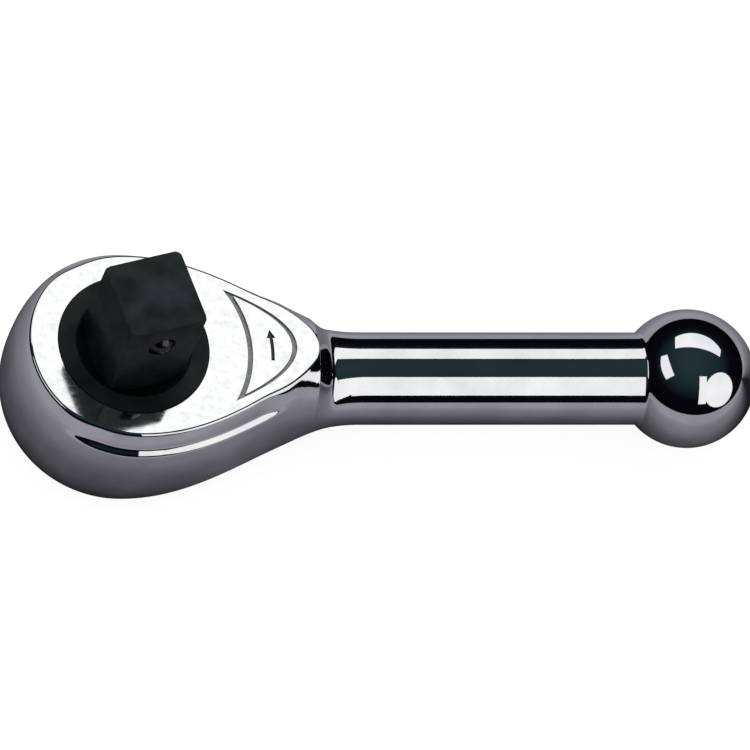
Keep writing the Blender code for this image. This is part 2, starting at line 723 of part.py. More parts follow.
def make_rings(steel, bronze, rubber):
    """What lies round the gear, from the front wall to the back face."""
    washer_top = POCKET_CEILING - SEAT
    washer = ring_profile(
        FRONT_HUB_RADIUS + RUNNING, POCKET_RADIUS - RUNNING, washer_top - THRUST_WASHER, washer_top
    )
    turned("thrust_washer", washer, bronze, closed=True)
    make_wave_washer(steel)
    cover = ring_profile(BACK_HUB_RADIUS + RUNNING, COVER_RADIUS, COVER_BOTTOM, COVER_TOP - SEAT)
    turned("cover_plate", cover, steel, closed=True)
    ring = outline_mesh("retaining_ring", [retaining_ring_outline()], RING_INSET, RING_TOP)
    ring_piece = add_object("retaining_ring", ring, steel)
    outer = COVER_RADIUS + RING_GROOVE_DEPTH - SEAT
    for side in (1.0, -1.0):
        spot = polar(outer - RETAINING_RING_WIDTH, math.pi + side * (RING_GAP + 0.5 * RING_EAR))
        name = "ring_ear_cut_a" if side > 0 else "ring_ear_cut_b"
        low = RING_INSET - OVERCUT
        high = RING_TOP + OVERCUT
        combine(ring_piece, cylinder(name, RING_EAR_HOLE, low, high, centre=spot, steps=12))
    for name, hub, low, high in (
        ("front_o_ring", FRONT_HUB_RADIUS, POCKET_CEILING, FACE_HEIGHT),
        ("back_o_ring", BACK_HUB_RADIUS, COVER_BOTTOM, COVER_TOP),
    ):
        middle = 0.5 * (low + high)
        centre = hub - O_RING_GROOVE + O_RING_WIRE + 0.5 * RUNNING
        section = []
        for index in range(O_RING_SIDES):
            angle = -2 * math.pi * index / O_RING_SIDES
            section.append((centre + O_RING_WIRE * math.cos(angle), middle + O_RING_WIRE * math.sin(angle)))
        turned(name, section, rubber, closed=True, steps=O_RING_STEPS)


def shade_round_pieces():
    """Smooth shading with sharp edges kept, where no modifier makes the faces."""
    for thing in WRENCH.objects:
        thing.data.shade_smooth()
        thing.data.set_sharp_from_angle(angle=math.radians(35.0))


def build():
    clear_scene()
    chrome = finish("chrome_plate", (0.78, 0.78, 0.79), 0.06, 1.0)
    black = finish("black_oxide", (0.02, 0.022, 0.025), 0.45, 0.4)
    steel = finish("spring_steel", (0.45, 0.45, 0.46), 0.3, 1.0)
    bronze = finish("bronze", (0.55, 0.36, 0.16), 0.4, 1.0)
    rubber = finish("nitrile_rubber", (0.03, 0.03, 0.03), 0.8, 0.0)
    make_body(chrome)
    make_gear(black)
    make_drive(black)
    make_detents(steel)
    make_pawl(steel)
    make_rings(steel, bronze, rubber)
    shade_round_pieces()


build()
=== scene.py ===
import math

import bmesh
import bpy
import numpy as np
from mathutils import Matrix, Vector


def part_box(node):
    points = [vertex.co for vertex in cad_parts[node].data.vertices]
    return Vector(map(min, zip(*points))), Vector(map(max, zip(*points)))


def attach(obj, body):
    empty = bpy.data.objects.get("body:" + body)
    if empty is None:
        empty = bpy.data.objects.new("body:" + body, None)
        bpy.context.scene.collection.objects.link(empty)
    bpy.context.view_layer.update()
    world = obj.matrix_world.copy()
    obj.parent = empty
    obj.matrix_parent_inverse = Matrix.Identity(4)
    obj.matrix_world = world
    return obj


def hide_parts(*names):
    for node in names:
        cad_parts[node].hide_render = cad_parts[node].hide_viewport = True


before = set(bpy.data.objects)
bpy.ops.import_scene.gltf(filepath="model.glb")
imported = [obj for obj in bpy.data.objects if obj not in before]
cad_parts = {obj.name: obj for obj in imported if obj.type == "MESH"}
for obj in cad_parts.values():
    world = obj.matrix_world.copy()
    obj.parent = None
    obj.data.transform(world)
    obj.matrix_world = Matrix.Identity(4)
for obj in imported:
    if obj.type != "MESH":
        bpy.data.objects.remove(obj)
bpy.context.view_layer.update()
MM = 0.001

# ------------------------------------------------------------------ forged body
# One steel drop forging: pear-shaped head, round handle and ball. It is ground and buffed, then nickel and
# chrome plated. The front and back of the head are ground flat after forging, so their edges stay crisp.

HEAD_RADIUS = 0.5 * (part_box("body")[1].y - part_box("body")[0].y) / MM
HEAD_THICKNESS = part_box("body")[1].z / MM
BALL_RADIUS = 8.2
BALL_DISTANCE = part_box("body")[1].x / MM - BALL_RADIUS
FACE_RADIUS = HEAD_RADIUS - 1.55
BACK_FACE_RADIUS = HEAD_RADIUS - 2.85
HANDLE_RADIUS = 5.45
NECK_END = 29.0
SQUARENESS = 2.6
NECK_FILLET = 0.6
EDGE_ROUND = 0.25
NECK_SNAP = 24.9
LEDGE_DEPTH = 0.5
LEDGE_HEIGHT = 6.3
LEDGE_FILLET = 0.7
FRONT_HUB_RADIUS = 9.1
SEAT_RADIUS = 10.7
PIN_CENTRE = (14.0, -4.4)
PIN_HOLE_RADIUS = 1.1
PIN_HOLE_TOP = 14.3
PAWL_POCKET_CENTRE = (11.5, 0.0)
PAWL_POCKET_RADIUS = 7.0
PAWL_POCKET_TOP = 12.88
PAWL_POCKET_FLOOR = 5.17


def srgb(code):
    """A hex colour as linear red, green, blue and alpha."""
    parts = np.array([int(code[i : i + 2], 16) for i in (1, 3, 5)]) / 255.0
    linear = np.where(parts <= 0.04045, parts / 12.92, ((parts + 0.055) / 1.055) ** 2.4)
    return (*linear.tolist(), 1.0)


def new_material(name):
    """An empty node material with its output and Principled shader already joined."""
    made = bpy.data.materials.new(name)
    made.use_nodes = True
    tree = made.node_tree
    return made, tree, tree.nodes["Principled BSDF"]


def add(tree, kind, settings=None, **links):
    """Adds a node, sets its own settings, and fills its inputs: a socket is linked, anything else is a value."""
    node = tree.nodes.new(kind)
    for key, value in (settings or {}).items():
        setattr(node, key, value)
    for key, value in links.items():
        index = int(key[1:]) if key[0] == "i" and key[1:].isdigit() else key.replace("_", " ")
        if isinstance(value, bpy.types.NodeSocket):
            tree.links.new(value, node.inputs[index])
        else:
            node.inputs[index].default_value = value
    return node


def ramp(tree, value, stops):
    """A colour ramp through (place, colour) stops."""
    node = add(tree, "ShaderNodeValToRGB", i0=value)
    band = node.color_ramp
    while len(band.elements) < len(stops):
        band.elements.new(0.5)
    for element, (place, colour) in zip(band.elements, stops):
        element.position = place
        element.color = colour
    return node.outputs["Color"]


def mesh_piece(name, points, faces, material, body, smooth_angle=30.0):
    """Makes a mesh object from points in mm, smooth-shaded with sharp edges by angle, and rides it on a body."""
    mesh = bpy.data.meshes.new(name)
    mesh.from_pydata((np.asarray(points, float) * MM).tolist(), [], faces)
    mesh.validate()
    piece = bpy.data.objects.new(name, mesh)
    bpy.context.scene.collection.objects.link(piece)
    mesh.materials.append(material)
    mesh.shade_smooth()
    mesh.set_sharp_from_angle(angle=math.radians(smooth_angle))
    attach(piece, body)
    return piece


def grid_faces(rows, columns, wrap_rows=False, wrap_columns=False, start=0):
    """Quads of a grid of rows x columns points, closed either way where asked."""
    r = np.arange(rows if wrap_rows else rows - 1)
    c = np.arange(columns if wrap_columns else columns - 1)
    rr, cc = np.meshgrid(r, c, indexing="ij")
    a = rr * columns + cc
    b = rr * columns + (cc + 1) % columns
    d = ((rr + 1) % rows) * columns + cc
    e = ((rr + 1) % rows) * columns + (cc + 1) % columns
    return (np.stack([a, b, e, d], axis=-1).reshape(-1, 4) + start).tolist()


def taper(share, powers):
    """1 at the drive axis, falling smoothly to 0 at the end of the neck: (1 - share^a)^b."""
    return (1.0 - share ** powers[0]) ** powers[1]


def blob_height(flat_radius, flat_height):
    """The half height that the head had before its flat was ground to this radius at this height."""
    return flat_height / (1.0 - (flat_radius / HEAD_RADIUS) ** SQUARENESS) ** (1.0 / SQUARENESS)


def flat_tip(flat, flat_radius):
    """How far along the handle a ground flat reaches: where the unground height has sunk to the flat."""
    tall = (flat - HANDLE_RADIUS) / (blob_height(flat_radius, flat) - HANDLE_RADIUS)
    return NECK_END * (1.0 - tall ** (1.0 / 1.5)) ** (1.0 / 2.6)


def half_section(x, flat, flat_radius, steps):
    """One quarter of the section at x, from the flat down to the side: a superellipse
    |y/W|^n + |z/H|^n = 1 whose top is ground off at the flat, with a small round where they meet."""
    share = np.clip(x / NECK_END, 0.0, 1.0)
    wide = taper(share, (2.0, 2.2))
    tip = flat_tip(flat, flat_radius)
    past = np.clip((x - tip) / (NECK_SNAP - tip), 0.0, 1.0)
    tall = taper(np.where(x > tip, tip + past * (NECK_END - tip), x) / NECK_END, (2.6, 1.5))
    width = HANDLE_RADIUS + (HEAD_RADIUS - HANDLE_RADIUS) * wide
    height = HANDLE_RADIUS + (blob_height(flat_radius, flat) - HANDLE_RADIUS) * tall
    power = 2.0 + (SQUARENESS - 2.0) * wide
    reach = np.arcsin(np.minimum(1.0, flat / height) ** (power / 2.0))
    corner = width * np.maximum(np.cos(reach), 0.0) ** (2.0 / power)
    soft = np.minimum(EDGE_ROUND, 0.45 * corner)
    turn = (reach - soft / 9.0)[:, None] * np.linspace(1.0, 0.0, steps)[None, :]
    y = width[:, None] * np.maximum(np.cos(turn), 0.0) ** (2.0 / power)[:, None]
    z = height[:, None] * np.sin(turn) ** (2.0 / power)[:, None]
    level = np.minimum(flat, height)
    t = np.linspace(0.0, 1.0, 5)[None, :-1]
    start_y, start_z = (corner - soft)[:, None], level[:, None]
    bend_y = (1 - t) ** 2 * start_y + 2 * t * (1 - t) * corner[:, None] + t**2 * y[:, :1]
    bend_z = (1 - t) ** 2 * start_z + 2 * t * (1 - t) * start_z + t**2 * z[:, :1]
    return np.hstack([bend_y, y]), np.hstack([bend_z, z])


def handle_stations():
    """Places along the handle past the neck and the radius there: cylinder, small fillet, ball."""
    reach = BALL_RADIUS + NECK_FILLET
    level = HANDLE_RADIUS + NECK_FILLET
    start = BALL_DISTANCE - math.sqrt(reach**2 - level**2)
    touch = math.atan2(level, BALL_DISTANCE - start)
    straight = np.linspace(NECK_END, start, 12)[1:-1]
    turn = np.linspace(0.0, math.pi / 2 - touch, 8) - math.pi / 2
    ball = np.linspace(math.pi - touch, 0.0, 72)[1:]
    x = np.concatenate([straight, start + NECK_FILLET * np.cos(turn), BALL_DISTANCE + BALL_RADIUS * np.cos(ball)])
    r = np.concatenate(
        [np.full(len(straight), HANDLE_RADIUS), level + NECK_FILLET * np.sin(turn), BALL_RADIUS * np.sin(ball)]
    )
    return x, np.maximum(r, 0.0)


def forging_points():
    """The skin as a grid of rings: the head's side turned about the drive axis behind it, sections of the
    neck and handle ahead of it, and the ball as a surface of revolution about the handle's axis."""
    steps = 40
    top_flat = HEAD_THICKNESS - BALL_RADIUS
    tips = [flat_tip(top_flat, FACE_RADIUS), flat_tip(BALL_RADIUS, BACK_FACE_RADIUS)]
    near_tips = [[tip - 0.1, tip - 0.02, tip, tip + 0.1] for tip in tips]
    neck = np.unique(np.concatenate([np.linspace(0.0, NECK_END, 100)] + near_tips))
    top_y, top_z = half_section(neck, top_flat, FACE_RADIUS, steps)
    back_y, back_z = half_section(neck, BALL_RADIUS, BACK_FACE_RADIUS, steps)
    side_y = np.hstack([top_y, back_y[:, -2::-1]])
    side_z = np.hstack([top_z, -back_z[:, -2::-1]])
    columns = side_y.shape[1]
    x = np.repeat(neck[:, None], columns, axis=1)
    sweep = np.linspace(math.pi, math.pi / 2, 72, endpoint=False)[:, None]
    round_x, round_y = side_y[0] * np.cos(sweep), side_y[0] * np.sin(sweep)
    first = np.stack([round_x, round_y, np.repeat(side_z[:1], len(sweep), axis=0)], axis=-1)
    second = np.stack([x, side_y, side_z], axis=-1)
    far_x, far_r = handle_stations()
    last_y, last_z = side_y[-1] / HANDLE_RADIUS, side_z[-1] / HANDLE_RADIUS
    third = np.stack(
        [np.repeat(far_x[:, None], columns, axis=1), far_r[:, None] * last_y, far_r[:, None] * last_z], axis=-1
    )
    grid = np.concatenate([first, second, third], axis=0)
    return grid - ledge(grid)


def ledge(grid):
    """The trimmed ledge along each side of the head: above a fillet the side steps in, fading out at both ends.
    The step is depth * smooth(height) * smooth(length), square to the outline."""
    def smooth(value, start, end):
        t = np.clip((value - start) / (end - start), 0.0, 1.0)
        return t * t * (3 - 2 * t)

    x, y, z = grid[..., 0], grid[..., 1], grid[..., 2]
    amount = LEDGE_DEPTH * smooth(z, LEDGE_HEIGHT - LEDGE_FILLET, LEDGE_HEIGHT)
    amount = amount * smooth(x, -9.5, -5.0) * (1.0 - smooth(x, 14.5, 19.0))
    out = np.stack([np.minimum(x, 0.0), y, np.zeros_like(y)], axis=-1)
    length = np.maximum(np.linalg.norm(out, axis=-1), 1e-9)
    inside = np.clip(length / 3.0, 0.0, 1.0)
    return out / length[..., None] * (amount * inside)[..., None]


def closed_body(name, grid):
    """Both halves of the skin welded along the middle, with the two ground flats filled."""
    rows, columns = grid.shape[:2]
    left = grid.reshape(-1, 3).copy()
    left[:, 2] += BALL_RADIUS
    right = left * [1.0, -1.0, 1.0]
    faces = grid_faces(rows, columns) + grid_faces(rows, columns, start=len(left))
    mesh = bpy.data.meshes.new(name)
    mesh.from_pydata((np.vstack([left, right]) * MM).tolist(), [], faces)
    shape = bmesh.new()
    shape.from_mesh(mesh)
    bmesh.ops.remove_doubles(shape, verts=shape.verts, dist=2e-6)
    bmesh.ops.dissolve_degenerate(shape, edges=shape.edges, dist=1e-6)
    bmesh.ops.holes_fill(shape, edges=[e for e in shape.edges if e.is_boundary], sides=0)
    bmesh.ops.recalc_face_normals(shape, faces=shape.faces)
    shape.to_mesh(mesh)
    shape.free()
    return mesh


def lathe(name, profile, steps=192, centre=(0.0, 0.0)):
    """A closed solid turned about an upright axis from (radius, height) points in mm, first and last on the axis."""
    inner = np.asarray(profile[1:-1], float)
    turn = np.arange(steps) * 2 * math.pi / steps
    ring = np.stack(
        [
            inner[:, :1] * np.cos(turn) + centre[0],
            inner[:, :1] * np.sin(turn) + centre[1],
            np.repeat(inner[:, 1:], steps, axis=1),
        ],
        axis=-1,
    ).reshape(-1, 3)
    ends = [[*centre, profile[0][1]], [*centre, profile[-1][1]]]
    faces = grid_faces(len(inner), steps, wrap_columns=True)
    first, last = len(ring), len(ring) + 1
    tail = (len(inner) - 1) * steps
    for k in range(steps):
        faces.append([first, (k + 1) % steps, k])
        faces.append([last, tail + k, tail + (k + 1) % steps])
    return solid(name, np.vstack([ring, ends]), faces)


def solid(name, points, faces):
    """A closed mesh in mm with its faces turned outwards, for cutting."""
    mesh = bpy.data.meshes.new(name)
    mesh.from_pydata((np.asarray(points, float) * MM).tolist(), [], faces)
    shape = bmesh.new()
    shape.from_mesh(mesh)
    bmesh.ops.recalc_face_normals(shape, faces=shape.faces)
    shape.to_mesh(mesh)
    shape.free()
    tool = bpy.data.objects.new(name, mesh)
    bpy.context.scene.collection.objects.link(tool)
    return tool


def prism(name, outer, low, high, inner=None):
    """A flat outline extruded between two heights, in mm; with an inner outline of as many points, a closed strip."""
    outer = np.asarray(outer, float)
    n = len(outer)
    rings = [outer] if inner is None else [outer, np.asarray(inner, float)]
    points = np.vstack([np.column_stack([line, np.full(n, z)]) for line in rings for z in (low, high)])
    step = np.arange(n)
    ahead = (step + 1) % n
    faces = np.stack([step, ahead, ahead + n, step + n], axis=1).tolist()
    if inner is None:
        return solid(name, points, faces + [step.tolist(), (step + n).tolist()])
    faces += (np.stack([step, ahead, ahead + n, step + n], axis=1) + 2 * n).tolist()
    faces += np.stack([step, ahead, ahead + 2 * n, step + 2 * n], axis=1).tolist()
    faces += (np.stack([step, ahead, ahead + 2 * n, step + 2 * n], axis=1) + n).tolist()
    return solid(name, points, faces)


def cut(piece, tools, operation="DIFFERENCE"):
    """Applies Boolean cuts, keeping each tool's own material on the surface it leaves, and removes the tools."""
    for tool in tools:
        boolean = piece.modifiers.new(tool.name, "BOOLEAN")
        boolean.operation = operation
        boolean.solver = "EXACT"
        boolean.material_mode = "TRANSFER"
        boolean.object = tool
    bpy.context.view_layer.update()
    seen = piece.evaluated_get(bpy.context.evaluated_depsgraph_get())
    made = bpy.data.meshes.new_from_object(seen)
    piece.modifiers.clear()
    piece.data = made
    for tool in tools:
        bpy.data.objects.remove(tool)


# Chrome plate: a mirror with a slightly cool white, faint polishing swirls, hair scratches and a soft haze.
# The ground faces keep a fine one-way grain under the plate, which spreads reflections a little.
def chrome_plate(name, ground):
    made, tree, shader = new_material(name)
    where = add(tree, "ShaderNodeTexCoord").outputs["Object"]
    haze = add(tree, "ShaderNodeTexNoise", i0=where, Scale=1 / (6 * MM), Detail=4.0, Roughness=0.6)
    along = add(tree, "ShaderNodeMapping", i0=where, Rotation=(0.3, 0.2, 0.5), Scale=(0.12, 1.0, 1.0))
    hair = add(tree, "ShaderNodeTexNoise", i0=along.outputs[0], Scale=1 / (0.25 * MM), Detail=2.0, Roughness=0.5)
    pits = add(tree, "ShaderNodeTexNoise", i0=where, Scale=1 / (1.1 * MM), Detail=3.0, Roughness=0.55)
    low, high = (0.05, 0.13) if ground else (0.022, 0.065)
    fine, coarse = hair.outputs["Fac"], pits.outputs["Fac"]
    mixed = add(tree, "ShaderNodeMath", {"operation": "MULTIPLY"}, i0=haze.outputs["Fac"], i1=fine)
    rough = add(tree, "ShaderNodeMapRange", i0=mixed.outputs[0], i1=0.1, i2=0.45, i3=low, i4=high)
    tree.links.new(rough.outputs[0], shader.inputs["Roughness"])
    dull, bright = ("#DDDEDF", "#F4F5F6") if ground else ("#CFD0D3", "#DEDFE1")
    spread = pits.outputs["Fac"] if ground else haze.outputs["Fac"]
    colour = ramp(tree, spread, [(0.32, srgb(dull)), (0.62, srgb(bright))])
    tree.links.new(colour, shader.inputs["Base Color"])
    both = add(tree, "ShaderNodeMath", {"operation": "MULTIPLY_ADD"}, i0=fine, i1=0.25, i2=coarse)
    strength = 0.05 if ground else 0.02
    bump = add(tree, "ShaderNodeBump", Strength=strength, Distance=0.02 * MM, Height=both.outputs[0])
    tree.links.new(bump.outputs[0], shader.inputs["Normal"])
    shader.inputs["Metallic"].default_value = 1.0
    return made


# Marks left by the die and the etch, and the bore walls: a dull grey, darker at random under a fine grit. In the
# crescent groove this grey is painted shade of the narrow channel.
def cut_tone_and_groove_shade(name, dark, light, metallic=0.7):
    made, tree, shader = new_material(name)
    where = add(tree, "ShaderNodeTexCoord").outputs["Object"]
    grit = add(tree, "ShaderNodeTexNoise", i0=where, Scale=1 / (0.35 * MM), Detail=5.0, Roughness=0.65)
    tone = ramp(tree, grit.outputs["Fac"], [(0.3, srgb(dark)), (0.7, srgb(light))])
    tree.links.new(tone, shader.inputs["Base Color"])
    rough = add(tree, "ShaderNodeMapRange", i0=grit.outputs["Fac"], i1=0.3, i2=0.7, i3=0.35, i4=0.6)
    tree.links.new(rough.outputs[0], shader.inputs["Roughness"])
    bump = add(tree, "ShaderNodeBump", Strength=0.3, Distance=0.02 * MM, Height=grit.outputs["Fac"])
    tree.links.new(bump.outputs[0], shader.inputs["Normal"])
    shader.inputs["Metallic"].default_value = metallic
    return made


polished = chrome_plate("buffed_chrome_plate", False)
ground_face = chrome_plate("ground_chrome_plate", True)
bore_wall = cut_tone_and_groove_shade("machined_bore_wall", "#3A3B3D", "#6A6B6E")
# The crescent groove's grey is painted shade: it stands in for the shade inside the channel.
groove_painted_shade = cut_tone_and_groove_shade("crescent_groove_painted_shade", "#3E3E42", "#66666B", 0.25)
mark_black = cut_tone_and_groove_shade("etched_mark", "#101012", "#262629", 0.25)

CRESCENT_RADIUS = HEAD_RADIUS + 0.05
CRESCENT_TIP = 19.4
CRESCENT_BOW = 0.15
GROOVE_HALF_WIDTH = 0.31
GROOVE_DEPTH = 0.25


def crescent_line(offset, count=64):
    """The crescent moved outwards by offset: x = tip - bow y^2 on its outer side, an arc about the drive inside."""
    inner, tip = CRESCENT_RADIUS - offset, CRESCENT_TIP + offset
    linear = 2.0 * CRESCENT_BOW * tip - 1.0
    spare = linear**2 - 4 * CRESCENT_BOW**2 * (tip**2 - inner**2)
    horn = math.sqrt((linear - math.sqrt(spare)) / (2 * CRESCENT_BOW**2))
    y = np.linspace(-horn, horn, count)
    turn = np.linspace(math.asin(horn / inner), -math.asin(horn / inner), count)[1:-1]
    outer = np.column_stack([tip - CRESCENT_BOW * y**2, y])
    return np.vstack([outer, np.column_stack([inner * np.cos(turn), inner * np.sin(turn)])])


def arrow_line(direction):
    """A curved arrow in the middle of the crescent: a thin arc about the drive with a triangular head."""
    line, stroke, head, half = 0.5 * (CRESCENT_RADIUS + CRESCENT_TIP), 0.21, 1.1, math.radians(7.0)
    sweep = np.linspace(-half, half - head / line, 16)
    angle = np.concatenate([sweep, [half - head / line, half, half - head / line], sweep[::-1]])
    point = [line + head / 2, line, line - head / 2]
    radius = np.concatenate([np.full(16, line + stroke), point, np.full(16, line - stroke)])
    return np.column_stack([radius * np.cos(angle), direction * radius * np.sin(angle)])


body = bpy.data.objects.new("forged_body", closed_body("forged_body", forging_points()))
bpy.context.scene.collection.objects.link(body)
body.data.materials.append(polished)
over, face = 1.0, HEAD_THICKNESS
pocket_ceiling, pocket_radius = face - 2.4, 10.1
bore = lathe(
    "bore_tool",
    [
        (0.0, face + over),
        (FRONT_HUB_RADIUS, face + over),
        (FRONT_HUB_RADIUS, pocket_ceiling),
        (pocket_radius, pocket_ceiling),
        (pocket_radius, 3.8),
        (SEAT_RADIUS, 3.8),
        (SEAT_RADIUS, 2.2),
        (SEAT_RADIUS + 0.45, 2.2),
        (SEAT_RADIUS + 0.45, 1.1),
        (SEAT_RADIUS, 1.1),
        (SEAT_RADIUS, -over),
        (0.0, -over),
    ],
)
bore.data.materials.append(bore_wall)
pawl_line = [
    (0.0, PAWL_POCKET_TOP),
    (PAWL_POCKET_RADIUS, PAWL_POCKET_TOP),
    (PAWL_POCKET_RADIUS, PAWL_POCKET_FLOOR),
    (0.0, PAWL_POCKET_FLOOR),
]
pocket = lathe("pocket_tool", pawl_line, 96, PAWL_POCKET_CENTRE)
pocket.data.materials.append(bore_wall)
pin_line = [(0.0, PIN_HOLE_TOP), (PIN_HOLE_RADIUS, PIN_HOLE_TOP), (PIN_HOLE_RADIUS, -over), (0.0, -over)]
pin_hole = lathe("pin_hole_tool", pin_line, 64, PIN_CENTRE)
pin_hole.data.materials.append(bore_wall)
crescent = prism(
    "crescent_tool",
    crescent_line(GROOVE_HALF_WIDTH),
    face - GROOVE_DEPTH,
    face + over,
    inner=crescent_line(-GROOVE_HALF_WIDTH),
)
crescent.data.materials.append(groove_painted_shade)
front_arrow = prism("front_arrow_tool", arrow_line(1.0), face - GROOVE_DEPTH, face + over)
back_arrow = prism("back_arrow_tool", arrow_line(-1.0), -over, GROOVE_DEPTH)
front_arrow.data.materials.append(mark_black)
back_arrow.data.materials.append(mark_black)
cut(body, [bore, pocket, pin_hole, crescent, front_arrow, back_arrow])
body.data.shade_smooth()
body.data.set_sharp_from_angle(angle=math.radians(34.0))
body.data.materials.append(ground_face)
flat_slot = len(body.data.materials) - 1
for polygon in body.data.polygons:
    if abs(polygon.normal.z) > 0.9999 and polygon.material_index == 0:
        polygon.material_index = flat_slot
        polygon.use_smooth = False
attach(body, "head")
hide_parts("body")

# ------------------------------------------------------------------ square drive
# A square bar of tool steel, turned at its corners and both tips, hardened and black-oxided in a hot bath.
# The oxide keeps the fine grain of the ground flats, with a few lighter specks.


def black_oxide(name, dark="#07080A", light="#14191B"):
    made, tree, shader = new_material(name)
    where = add(tree, "ShaderNodeTexCoord").outputs["Object"]
    grain = add(tree, "ShaderNodeTexNoise", i0=where, Scale=1 / (0.3 * MM), Detail=5.0, Roughness=0.7)
    cloud = add(tree, "ShaderNodeTexNoise", i0=where, Scale=1 / (3.5 * MM), Detail=3.0, Roughness=0.55)
    fleck = ramp(tree, grain.outputs["Fac"], [(0.66, (0, 0, 0, 1)), (0.78, (1, 1, 1, 1))])
    base = ramp(tree, cloud.outputs["Fac"], [(0.3, srgb(dark)), (0.72, srgb(light))])
    spots = add(tree, "ShaderNodeMix", {"data_type": "RGBA"}, i0=0.0)
    amount = add(tree, "ShaderNodeMath", {"operation": "MULTIPLY"}, i0=fleck, i1=0.3)
    tree.links.new(amount.outputs[0], spots.inputs[0])
    tree.links.new(base, spots.inputs[6])
    spots.inputs[7].default_value = srgb("#2A3033")
    tree.links.new(spots.outputs[2], shader.inputs["Base Color"])
    rough = add(tree, "ShaderNodeMapRange", i0=grain.outputs["Fac"], i1=0.3, i2=0.7, i3=0.42, i4=0.6)
    tree.links.new(rough.outputs[0], shader.inputs["Roughness"])
    bump = add(tree, "ShaderNodeBump", Strength=0.35, Distance=0.015 * MM, Height=grain.outputs["Fac"])
    tree.links.new(bump.outputs[0], shader.inputs["Normal"])
    shader.inputs["Specular IOR Level"].default_value = 0.16
    return made


oxide = black_oxide("hot_black_oxide")
DRIVE_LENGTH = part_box("square_drive")[1].z / MM
HALF_SQUARE = 4.7625
DRIVE_TURN = math.radians(14.0)
TURNED_RADIUS = 6.6
TIP_RADIUS = 6.3
TIP_CHAMFER = 0.35
FLAT_AREA = 20.0
quarter = DRIVE_TURN + math.pi / 4 + np.arange(4) * math.pi / 2
square = HALF_SQUARE * math.sqrt(2) * np.column_stack([np.cos(quarter), np.sin(quarter)])
drive = prism("square_drive_bar", square, 0.0, DRIVE_LENGTH)
drive.data.materials.append(oxide)
limit = lathe(
    "turning_limit",
    [
        (0.0, DRIVE_LENGTH),
        (TIP_RADIUS, DRIVE_LENGTH),
        (TURNED_RADIUS, DRIVE_LENGTH - TIP_CHAMFER),
        (TURNED_RADIUS, TIP_CHAMFER),
        (TIP_RADIUS, 0.0),
        (0.0, 0.0),
    ],
)
limit.data.materials.append(oxide)
cut(drive, [limit], "INTERSECT")
side_normal = Vector((math.cos(DRIVE_TURN - math.pi / 2), math.sin(DRIVE_TURN - math.pi / 2), 0.0))
along_normal = side_normal.to_track_quat("Z", "Y").to_matrix().to_4x4()
holes = []
for height in (4.6, DRIVE_LENGTH - 4.6):
    hole = lathe(f"detent_hole_{height:.0f}", [(0.0, 1.0), (1.7, 1.0), (1.7, -6.2), (0.0, -6.2)], 64)
    hole.data.transform(Matrix.Translation((side_normal * HALF_SQUARE + Vector((0, 0, height))) * MM) @ along_normal)
    hole.data.materials.append(oxide)
    holes.append(hole)
cut(drive, holes)
bevel = drive.modifiers.new("worn_edges", "BEVEL")
bevel.width = 0.14 * MM
bevel.segments = 3
bevel.limit_method = "ANGLE"
bevel.angle_limit = math.radians(28.0)
cut(drive, [])
drive.data.shade_smooth()
drive.data.set_sharp_from_angle(angle=math.radians(34.0))
for polygon in drive.data.polygons:
    if polygon.area > FLAT_AREA * MM**2:
        polygon.use_smooth = False
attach(drive, "drive")
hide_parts("square_drive")

# ------------------------------------------------------------------ ratchet gear
# The toothed wheel and its two hubs are one turned and hobbed piece of alloy steel, in the same black oxide.
# Its front hub is the dark disc round the drive, with a countersink that leads the square in.

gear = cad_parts["drive_gear"]
gear.data.materials.clear()
gear.data.materials.append(black_oxide("turned_black_oxide", "#050608", "#0E1113"))

# ------------------------------------------------------------------ detent balls
# Two chromium steel bearing balls, ground and lapped to a mirror. A coil spring presses each one outwards.


def bare_steel(name, dark, light, low, high, grain_mm, metallic=1.0):
    """Uncoated steel or alloy: two tones along a fine lay, and roughness that follows the same lay."""
    made, tree, shader = new_material(name)
    where = add(tree, "ShaderNodeTexCoord").outputs["Object"]
    lay = add(tree, "ShaderNodeMapping", i0=where, Scale=(1.0, 1.0, 0.2))
    density = 1 / (grain_mm * MM)
    grain = add(tree, "ShaderNodeTexNoise", i0=lay.outputs[0], Scale=density, Detail=4.0, Roughness=0.6)
    tone = ramp(tree, grain.outputs["Fac"], [(0.3, srgb(dark)), (0.7, srgb(light))])
    tree.links.new(tone, shader.inputs["Base Color"])
    rough = add(tree, "ShaderNodeMapRange", i0=grain.outputs["Fac"], i1=0.3, i2=0.7, i3=low, i4=high)
    tree.links.new(rough.outputs[0], shader.inputs["Roughness"])
    bump = add(tree, "ShaderNodeBump", Strength=0.12, Distance=0.01 * MM, Height=grain.outputs["Fac"])
    tree.links.new(bump.outputs[0], shader.inputs["Normal"])
    shader.inputs["Metallic"].default_value = metallic
    return made


